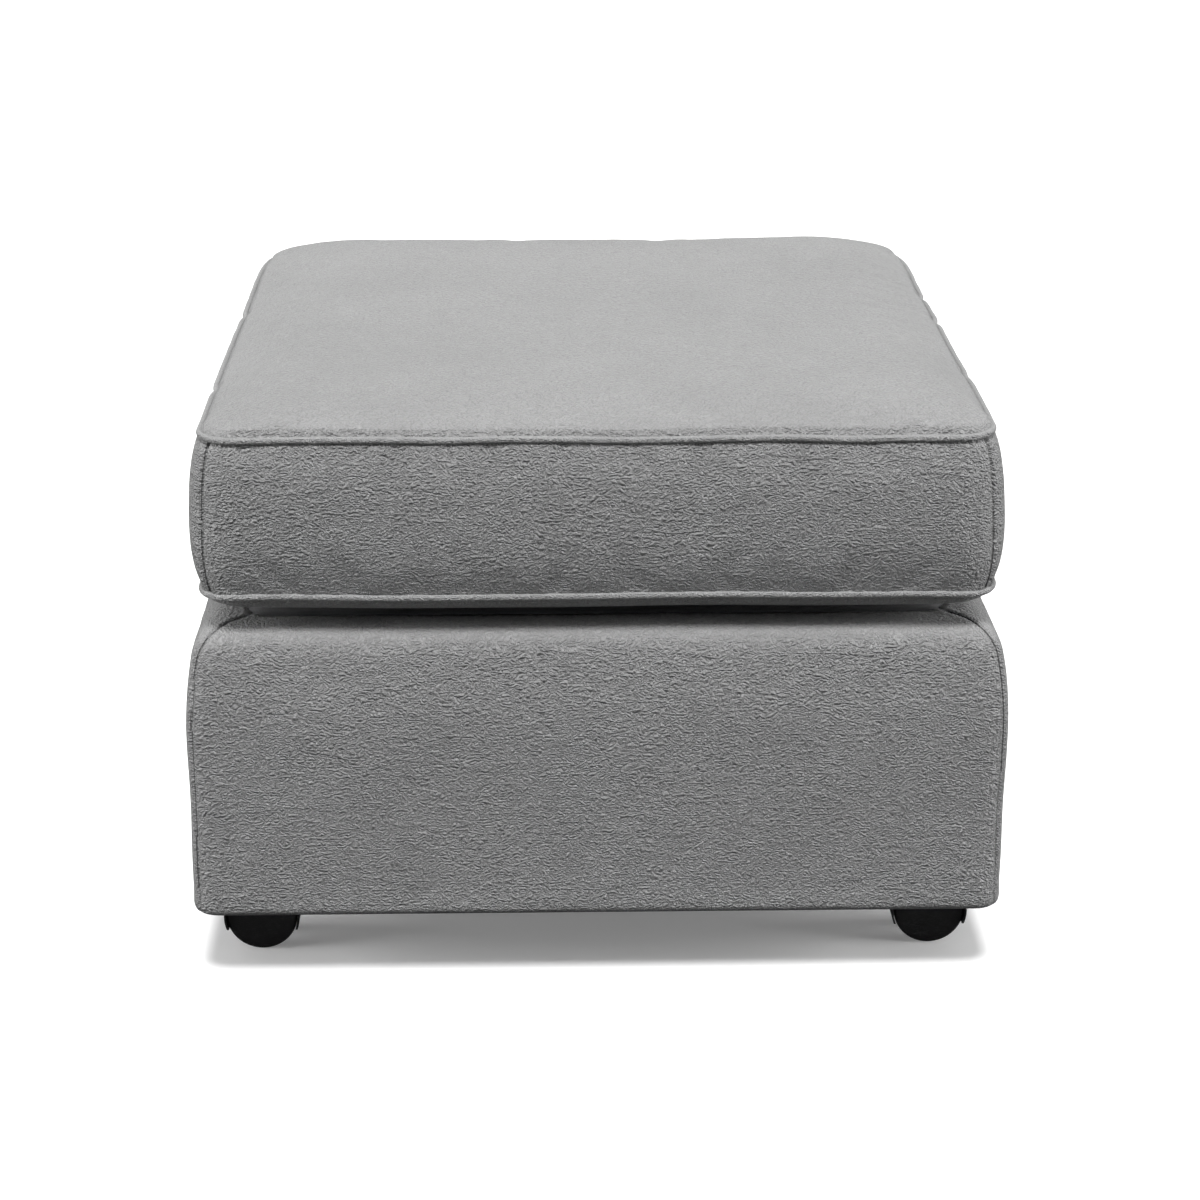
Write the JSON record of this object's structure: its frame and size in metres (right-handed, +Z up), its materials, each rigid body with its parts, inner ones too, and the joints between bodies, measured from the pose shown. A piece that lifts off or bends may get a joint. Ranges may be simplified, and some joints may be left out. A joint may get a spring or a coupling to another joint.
{
  "type": "ottoman coffee table",
  "caption": "Low padded ottoman used as a coffee table: a loose box cushion with welted edges on a square upholstered base, rolling on hooded twin-wheel casters.",
  "frame": {"origin": "on the floor, under the middle of the base", "axes": "+Z up; front faces -Y, as in the picture; +X to the right of someone facing the front"},
  "size_m": [0.672, 0.693, 0.494],
  "materials": {
    "leather": "satin",
    "leather_welt": "satin",
    "plywood": "matte",
    "timber": "matte",
    "fibre": "matte",
    "foam": "matte",
    "felt": "matte",
    "deck_cloth": "matte",
    "dust_cloth": "matte",
    "zip_tape": "matte",
    "zip_metal": "satin",
    "spring_steel": "satin",
    "fastener_steel": "satin",
    "caster_steel": "satin",
    "hood_plastic": "satin",
    "wheel_plastic": "satin"
  },
  "bodies": {
    "base": {"frame_front": "plywood", "padding_front": "fibre", "panel_front": "leather", "frame_back": "plywood", "padding_back": "fibre", "panel_back": "leather", "frame_left": "plywood", "padding_left": "fibre", "panel_left": "leather", "frame_right": "plywood", "padding_right": "fibre", "panel_right": "leather", "corner_block_front_left": "timber", "caster_plate_front_left": "caster_steel", "corner_block_front_right": "timber", "caster_plate_front_right": "caster_steel", "corner_block_back_left": "timber", "caster_plate_back_left": "caster_steel", "corner_block_back_right": "timber", "caster_plate_back_right": "caster_steel", "kingpins": "caster_steel", "centre_brace": "plywood", "frame_screws": "fastener_steel", "caster_plate_screws": "fastener_steel", "dust_cover_staples": "fastener_steel", "seat_springs": "spring_steel", "spring_clips": "spring_steel", "spring_insulator": "felt", "deck_pad": "foam", "edge_roll": "foam", "deck_cloth": "deck_cloth", "dust_cover": "dust_cloth"},
    "cushion": {"cushion_core": "foam", "cushion_wrap": "fibre", "top_panel": "leather", "bottom_panel": "leather", "welt_top": "leather_welt", "welt_bottom": "leather_welt", "zip_chain": "zip_tape", "boxing_front": "leather", "boxing_back": "leather", "boxing_left": "leather", "boxing_right": "leather"},
    "slider": {"zip_slider": "zip_metal"},
    "swivel_front_left": {"caster_hood_front_left": "hood_plastic", "axle_front_left": "caster_steel"},
    "roller_front_left_a": {"wheel_front_left_a": "wheel_plastic"},
    "roller_front_left_b": {"wheel_front_left_b": "wheel_plastic"},
    "swivel_front_right": {"caster_hood_front_right": "hood_plastic", "axle_front_right": "caster_steel"},
    "roller_front_right_a": {"wheel_front_right_a": "wheel_plastic"},
    "roller_front_right_b": {"wheel_front_right_b": "wheel_plastic"},
    "swivel_back_left": {"caster_hood_back_left": "hood_plastic", "axle_back_left": "caster_steel"},
    "roller_back_left_a": {"wheel_back_left_a": "wheel_plastic"},
    "roller_back_left_b": {"wheel_back_left_b": "wheel_plastic"},
    "swivel_back_right": {"caster_hood_back_right": "hood_plastic", "axle_back_right": "caster_steel"},
    "roller_back_right_a": {"wheel_back_right_a": "wheel_plastic"},
    "roller_back_right_b": {"wheel_back_right_b": "wheel_plastic"}
  },
  "joints": [
    {"name": "cushion_lift", "type": "slide", "parent": "base", "child": "cushion", "axis": [0, 0, 1], "range_m": [0, 0.25]},
    {"name": "zip_run", "type": "slide", "parent": "cushion", "child": "slider", "axis": [-1, 0, 0], "range_m": [0, 0.392]},
    {"name": "swivel_front_left", "type": "hinge", "parent": "base", "child": "swivel_front_left", "pos_m": [-0.268, -0.2545, 0.06], "axis": [0, 0, 1], "continuous": true},
    {"name": "roll_front_left_a", "type": "hinge", "parent": "swivel_front_left", "child": "roller_front_left_a", "pos_m": [-0.2856, -0.2695, 0.03], "axis": [0, 1, 0], "continuous": true},
    {"name": "roll_front_left_b", "type": "hinge", "parent": "swivel_front_left", "child": "roller_front_left_b", "pos_m": [-0.2856, -0.2395, 0.03], "axis": [0, 1, 0], "continuous": true},
    {"name": "swivel_front_right", "type": "hinge", "parent": "base", "child": "swivel_front_right", "pos_m": [0.268, -0.2545, 0.06], "axis": [0, 0, 1], "continuous": true},
    {"name": "roll_front_right_a", "type": "hinge", "parent": "swivel_front_right", "child": "roller_front_right_a", "pos_m": [0.2856, -0.2695, 0.03], "axis": [0, 1, 0], "continuous": true},
    {"name": "roll_front_right_b", "type": "hinge", "parent": "swivel_front_right", "child": "roller_front_right_b", "pos_m": [0.2856, -0.2395, 0.03], "axis": [0, 1, 0], "continuous": true},
    {"name": "swivel_back_left", "type": "hinge", "parent": "base", "child": "swivel_back_left", "pos_m": [-0.268, 0.2545, 0.06], "axis": [0, 0, 1], "continuous": true},
    {"name": "roll_back_left_a", "type": "hinge", "parent": "swivel_back_left", "child": "roller_back_left_a", "pos_m": [-0.2856, 0.2395, 0.03], "axis": [0, 1, 0], "continuous": true},
    {"name": "roll_back_left_b", "type": "hinge", "parent": "swivel_back_left", "child": "roller_back_left_b", "pos_m": [-0.2856, 0.2695, 0.03], "axis": [0, 1, 0], "continuous": true},
    {"name": "swivel_back_right", "type": "hinge", "parent": "base", "child": "swivel_back_right", "pos_m": [0.268, 0.2545, 0.06], "axis": [0, 0, 1], "continuous": true},
    {"name": "roll_back_right_a", "type": "hinge", "parent": "swivel_back_right", "child": "roller_back_right_a", "pos_m": [0.2856, 0.2395, 0.03], "axis": [0, 1, 0], "continuous": true},
    {"name": "roll_back_right_b", "type": "hinge", "parent": "swivel_back_right", "child": "roller_back_right_b", "pos_m": [0.2856, 0.2695, 0.03], "axis": [0, 1, 0], "continuous": true}
  ]
}
